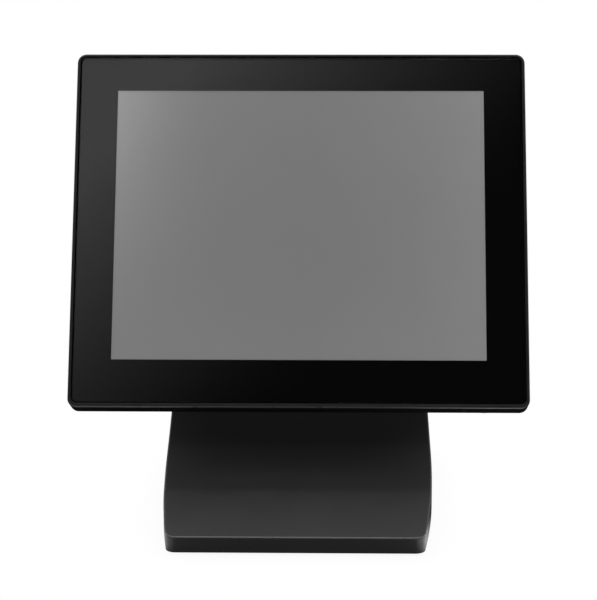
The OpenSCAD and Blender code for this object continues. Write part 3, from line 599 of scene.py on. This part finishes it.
def stand_surface(inset, front, side, back):
    """One skin of the stand, open at the bottom, with its edge rounding at the front, side and
    back. Returns its points, its faces and the ring of points round its bottom. The counts are
    the same for any inset."""
    rows, top_row = stand_rows(inset, front)
    count = len(rows)
    verts, faces = [], []

    def add(x, y, z):
        verts.append((x * MM, (y + STAND_FRONT) * MM, z * MM))
        return len(verts) - 1

    def bridge(first, second):
        for i in range(len(first) - 1):
            faces.append((first[i], first[i + 1], second[i + 1], second[i]))

    # the middle of the top and back, row by row
    radii, halves, grid = [], [], []
    for k, (y, height, _, turn) in enumerate(rows):
        radius = edge_radius(k, top_row, front, side, back)
        if turn is None:
            half = half_width(y, height, inset) - radius
        else:
            half = CORNER_X + (CORNER_R - inset - front) * math.sin(turn)
        radii.append(radius)
        halves.append(half)
        grid.append([add(-half + 2 * half * j / (COLUMNS - 1), y, height)
                     for j in range(COLUMNS)])
    for lower, upper in zip(grid, grid[1:]):
        bridge(lower, upper)

    # the rounded edge: up to the front along the left side, along the front, back on the right
    border_spots = [(-1, k, 0) for k in range(count - 1, 0, -1)]
    border_spots += [(0, 0, j) for j in range(COLUMNS)]
    border_spots += [(1, k, COLUMNS - 1) for k in range(1, count)]
    front_left = count - 1
    front_right = front_left + COLUMNS - 1
    rings = [[grid[k][j] for _, k, j in border_spots]]
    for step in range(1, ROUND_STEPS + 1):
        angle = math.pi / 2 * step / ROUND_STEPS
        points = []
        for hand, k, j in border_spots:
            y, height, normal, turn = rows[k]
            out, down = radii[k] * math.sin(angle), radii[k] * (1 - math.cos(angle))
            if hand == 0:
                x = -halves[k] + 2 * halves[k] * j / (COLUMNS - 1)
                out_x, out_y = 0.0, -1.0
            else:
                x = hand * halves[k]
                out_x, out_y = (hand, 0.0) if turn is None else (
                    hand * math.sin(turn), -math.cos(turn))
            x += out_x * out
            y += out_y * out + normal[0] * down
            height += normal[1] * down
            if hand != 0 and turn is None and step == ROUND_STEPS:
                x = hand * half_width(y, height, inset)
            points.append((x, y, height))
        rings.append([add(*p) for p in points])
    for inner, outer in zip(rings, rings[1:]):
        bridge(inner, outer)
    edge, edge_ids = points, rings[-1]

    # the sides: columns from each row down to the bottom or, higher up, across to the back
    # row that mirrors it about the top of the neck
    main = range(CORNER_ROWS, top_row + 1)
    mirrored = 2 * top_row + 1
    to_bottom = [k for k in main if mirrored - k >= count]
    bottom = [edge[front_right + k][1] for k in main if rows[k][0] < FLAT]
    bottom += list(np.linspace(bottom[-1], edge[-1][1], len(to_bottom) - len(bottom) + 1)[1:])
    columns = {}
    for hand in (-1, 1):
        columns[hand] = []
        for i, k in enumerate(main):
            at = front_left - k if hand < 0 else front_right + k
            _, y0, z0 = edge[at]
            column = [edge_ids[at]]
            steps = WALL_STEPS
            if i < len(to_bottom):
                y1, z1 = bottom[i], SKIRT
            else:
                partner = mirrored - k
                end = front_left - partner if hand < 0 else front_right + partner
                _, y1, z1 = edge[end]
                steps -= 1
            for q in range(1, steps + 1):
                y, z = y0 + (y1 - y0) * q / WALL_STEPS, z0 + (z1 - z0) * q / WALL_STEPS
                column.append(add(hand * half_width(y, z, inset), y, z))
            if i >= len(to_bottom):
                column.append(edge_ids[end])
            columns[hand].append(column)
        for one, other in zip(columns[hand], columns[hand][1:]):
            bridge(one, other)

    # the front wall and its corners, straight down between the first columns of the sides
    walls = [columns[-1][0]]
    for at in range(front_left - CORNER_ROWS + 1, front_right + CORNER_ROWS):
        x, y, z = edge[at]
        walls.append([edge_ids[at]] + [add(x, y, z + (SKIRT - z) * q / WALL_STEPS)
                                       for q in range(1, WALL_STEPS + 1)])
    walls.append(columns[1][0])
    for one, other in zip(walls, walls[1:]):
        bridge(one, other)

    # round the bottom: front wall, right side, back, left side
    feet = {hand: [c[-1] for c in columns[hand][1:len(to_bottom)]] for hand in (-1, 1)}
    rim = [wall[-1] for wall in walls] + feet[1]
    rim += [ring[-1] for ring in rings[-2:0:-1]] + grid[-1][::-1]
    rim += [ring[0] for ring in rings[1:-1]] + feet[-1][::-1]
    return verts, faces, rim


def stand():
    verts, faces, rim = stand_surface(0.0, front=1.1, side=2.2, back=6.0)
    inner_verts, inner_faces, inner_rim = stand_surface(SHELL, front=0.6, side=0.8, back=3.2)
    start = len(verts)
    faces += [tuple(reversed([i + start for i in face])) for face in inner_faces]
    for i in range(len(rim)):
        j = (i + 1) % len(rim)
        faces.append((rim[i], rim[j], inner_rim[j] + start, inner_rim[i] + start))
    obj = make("stand_cover_shell", verts + inner_verts, faces,
               [MAT["stand"], MAT["stand_painted_highlight"]], smooth=40)
    # the rounding along the top of the front gets a painted highlight, a lighter material
    for face in obj.data.polygons:
        near_front = face.center.z > 0.0135 and face.center.y < STAND_FRONT * MM + 0.009
        if near_front and 0.12 < face.normal.z < 0.985:
            face.material_index = 1
    neck_opening = ((-60, 150, 108), (60, 260, 170))
    back_opening = ((-50, 215, 10), (50, 260, 96))
    cut(obj, [solid_boxes("neck_opening", [neck_opening], STAND),
              solid_boxes("back_opening", [back_opening], STAND)], smooth=40)
    stand_in(obj, "stand", "stand_cover")


stand()

for piece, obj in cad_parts.items():
    if piece not in REBUILT:
        round_edges(obj, ROUND.get(piece, USUAL_ROUND))

# ------------------------------------------------------------------ camera, in metres
SENSOR, LENS = 36.0, 129.3306  # millimetres
CAMERA_AT = Vector((0.0380222, -1.6506110, 0.6255324))
AHEAD = Vector((-0.0218743, 0.9638371, -0.265593))
RIGHT = Vector((0.9997565, 0.0218644, -0.0029942))
UP = Vector((-0.0029212, 0.2655938, 0.9640806))


def camera():
    obj = bpy.data.objects.new("camera", bpy.data.cameras.new("camera"))
    axes = zip(RIGHT, UP, -AHEAD, CAMERA_AT)
    obj.matrix_world = Matrix((*axes, (0, 0, 0, 1)))
    obj.data.sensor_width = SENSOR
    obj.data.lens = LENS
    obj.data.clip_start, obj.data.clip_end = 0.05, 60
    bpy.context.scene.collection.objects.link(obj)
    bpy.context.scene.camera = obj


camera()


# ------------------------------------------------------------------ floor, in metres
def floor_material():
    """White to the camera with a faint contact shadow, see-through from below. Other rays see
    it dark with glowing patches."""
    mat, g = new_material("pale_floor", principled=False)
    shade = g.add("AmbientOcclusion", {"Distance": 0.03}, samples=16).outputs["AO"]
    lit = g.add("Emission", {"Strength": g.ramp(shade, 0.0, 1.0, low=0.93)})
    dark = g.add("BsdfDiffuse", {"Color": (0.04, 0.04, 0.04, 1)})
    path = g.add("LightPath").outputs
    x, y, _ = g.split(g.add("NewGeometry").outputs["Position"])
    # beside and before the front of the stand, in reflections only
    beside = g.ramp(g.math("ABSOLUTE", x), 0.1, 0.112)
    ahead = g.ramp(y, -0.04, -0.09)
    near = g.ramp(g.math("ABSOLUTE", x), 0.3, 0.24)
    near = g.times(near, g.ramp(y, -0.26, -0.2))
    patch = g.times(g.times(beside, ahead), near)
    strength = g.times(path["Is Glossy Ray"], g.ramp(x, -0.1, 0.1, low=1.8, high=2.9))
    shine = g.times(patch, strength)
    # beneath the stand
    beneath = g.times(g.math("LESS_THAN", g.math("ABSOLUTE", x), 0.096),
                      g.math("LESS_THAN", g.math("ABSOLUTE", y), 0.108))
    shine = g.plus(shine, g.times(beneath, 1.2))
    # behind the stand, where it throws light up onto the back of the head
    behind = g.times(g.ramp(y, 0.2, 0.3), g.ramp(y, 0.9, 0.7))
    behind = g.times(behind, g.ramp(g.math("ABSOLUTE", x), 0.8, 0.6))
    shine = g.plus(shine, g.times(behind, 1.1))
    glow = g.add("Emission", {"Strength": shine})
    unseen = g.add("AddShader", {0: dark.outputs[0], 1: glow.outputs[0]})
    above = g.mix_shader(path["Is Camera Ray"], unseen.outputs[0], lit.outputs[0])
    surface = g.mix_shader(g.add("NewGeometry").outputs["Backfacing"], above,
                           g.add("BsdfTransparent").outputs[0])
    g.feed(g.tree.nodes["Material Output"].inputs["Surface"], surface)
    mat.cycles.emission_sampling = "NONE"
    return mat


FLOOR_HALF, FLOOR_Z = 8, -0.0002
corners = [(x * FLOOR_HALF, y * FLOOR_HALF, FLOOR_Z)
           for x, y in ((-1, -1), (1, -1), (1, 1), (-1, 1))]
make("floor", corners, [(0, 1, 2, 3)], [floor_material()])

# ------------------------------------------------------------------ studio light, as a world
# Softboxes as bands of the sky: from and to, in degrees from the horizon in front over the top
# to the horizon behind, and strength.
SOFTBOXES = [
    (0, 15, 1.55), (15, 33, 0.1), (50, 65, 0.69), (65, 80, 0.86), (80, 95, 1.32),
    (95, 110, 0.56), (110, 130, 2.2), (130, 152, 0.08), (152, 178, 0.05),
]
BAND_BLUR = 2  # degrees either side of a band's limits
SIDES, REAR, ROOM = 0.1, 1.5, 0.012  # strengths of the far sides, rear patches and room

PANEL = 0.606  # strength of the panel that the glass mirrors
# The panel is laid out on the mirrored view in a grid this many units wide. Its falloff runs
# along across + PANEL_SLANT * down, between the two limits.
PANEL_GRID = 600
PANEL_SCALE = LENS * PANEL_GRID / SENSOR
PANEL_X, PANEL_Y = 298.5, 300.0  # grid place of the view's axis
PANEL_SLANT = 1.01
PANEL_START, PANEL_END = 150.0, 760.0
# share of the way along the falloff, brightness
PANEL_ENDS = ((0.0, 0.96), (1.0, 0.004))
PANEL_FALL = ((0.12, 1.0), (0.25, 0.77), (0.4, 0.475), (0.53, 0.27), (0.65, 0.13),
              (0.78, 0.033), (0.88, 0.008))


def studio_light(g, sky):
    """The strength of the light from each direction, away from the panel."""
    x, y, z = g.split(sky)
    angle = g.times(g.math("ARCTAN2", z, g.times(y, -1.0)), 180 / math.pi)
    wide = g.math("ABSOLUTE", x)
    middle = g.ramp(wide, 0.52, 0.42)
    light = g.times(g.times(g.ramp(wide, 0.7, 0.8), g.ramp(z, 0.0, 0.05)), SIDES)
    for start, end, strength in SOFTBOXES:
        band = g.times(g.ramp(angle, start - BAND_BLUR, start + BAND_BLUR),
                       g.ramp(angle, end + BAND_BLUR, end - BAND_BLUR))
        light = g.plus(light, g.times(g.times(band, middle), strength))
    rear = g.times(g.ramp(wide, 0.4, 0.5), g.ramp(wide, 0.95, 0.85))
    low = g.times(g.ramp(z, 0.0, 0.03), g.ramp(z, 0.5, 0.4))
    rear = g.times(rear, g.times(g.ramp(y, 0.1, 0.3), low))
    light = g.plus(light, g.times(rear, REAR))
    return g.plus(light, ROOM)


def mirrored_panel(g, sky):
    """The panel's strength, falling off from upper left to lower right in the glass, and a
    mask for where it stands."""
    normal = Vector((0, -math.cos(TILT), math.sin(TILT)))

    def along(axis):
        """The sky direction's share along a camera axis mirrored in the glass."""
        inputs = {0: sky, 1: tuple(axis - 2 * axis.dot(normal) * normal)}
        return g.add("VectorMath", inputs, operation="DOT_PRODUCT").outputs["Value"]

    ahead = g.math("MAXIMUM", along(AHEAD), 0.05)
    right = g.math("DIVIDE", along(RIGHT), ahead)
    up = g.math("DIVIDE", along(UP), ahead)
    across = g.plus(g.times(right, PANEL_SCALE), PANEL_X)
    down = g.math("SUBTRACT", PANEL_Y, g.times(up, PANEL_SCALE))
    slant = g.plus(across, g.times(down, PANEL_SLANT))
    fall = g.add("FloatCurve")
    curve = fall.mapping.curves[0]
    for point, place in zip(curve.points, PANEL_ENDS):
        point.location = place
    for x, y in PANEL_FALL:
        curve.points.new(x, y)
    for point in curve.points:
        point.handle_type = "AUTO_CLAMPED"
    fall.mapping.update()
    g.feed(fall.inputs["Value"], g.ramp(slant, PANEL_START, PANEL_END))
    panel = g.times(fall.outputs["Value"], PANEL)
    return panel, g.ramp(along(AHEAD), 0.970, 0.982)


def studio():
    world = bpy.data.worlds.new("studio")
    bpy.context.scene.world = world
    world.use_nodes = True
    g = Graph(world.node_tree)
    sky = g.add("TexCoord").outputs["Generated"]
    light = studio_light(g, sky)
    panel, inside = mirrored_panel(g, sky)
    seen = g.add("LightPath").outputs["Is Camera Ray"]
    strength = g.mix("FLOAT", seen, g.mix("FLOAT", inside, light, panel), 1.0)
    background = g.tree.nodes["Background"]
    background.inputs["Color"].default_value = (1, 1, 1, 1)
    g.feed(background.inputs["Strength"], strength)


studio()

view = bpy.context.scene.view_settings
view.view_transform = "Standard"
view.look = "None"
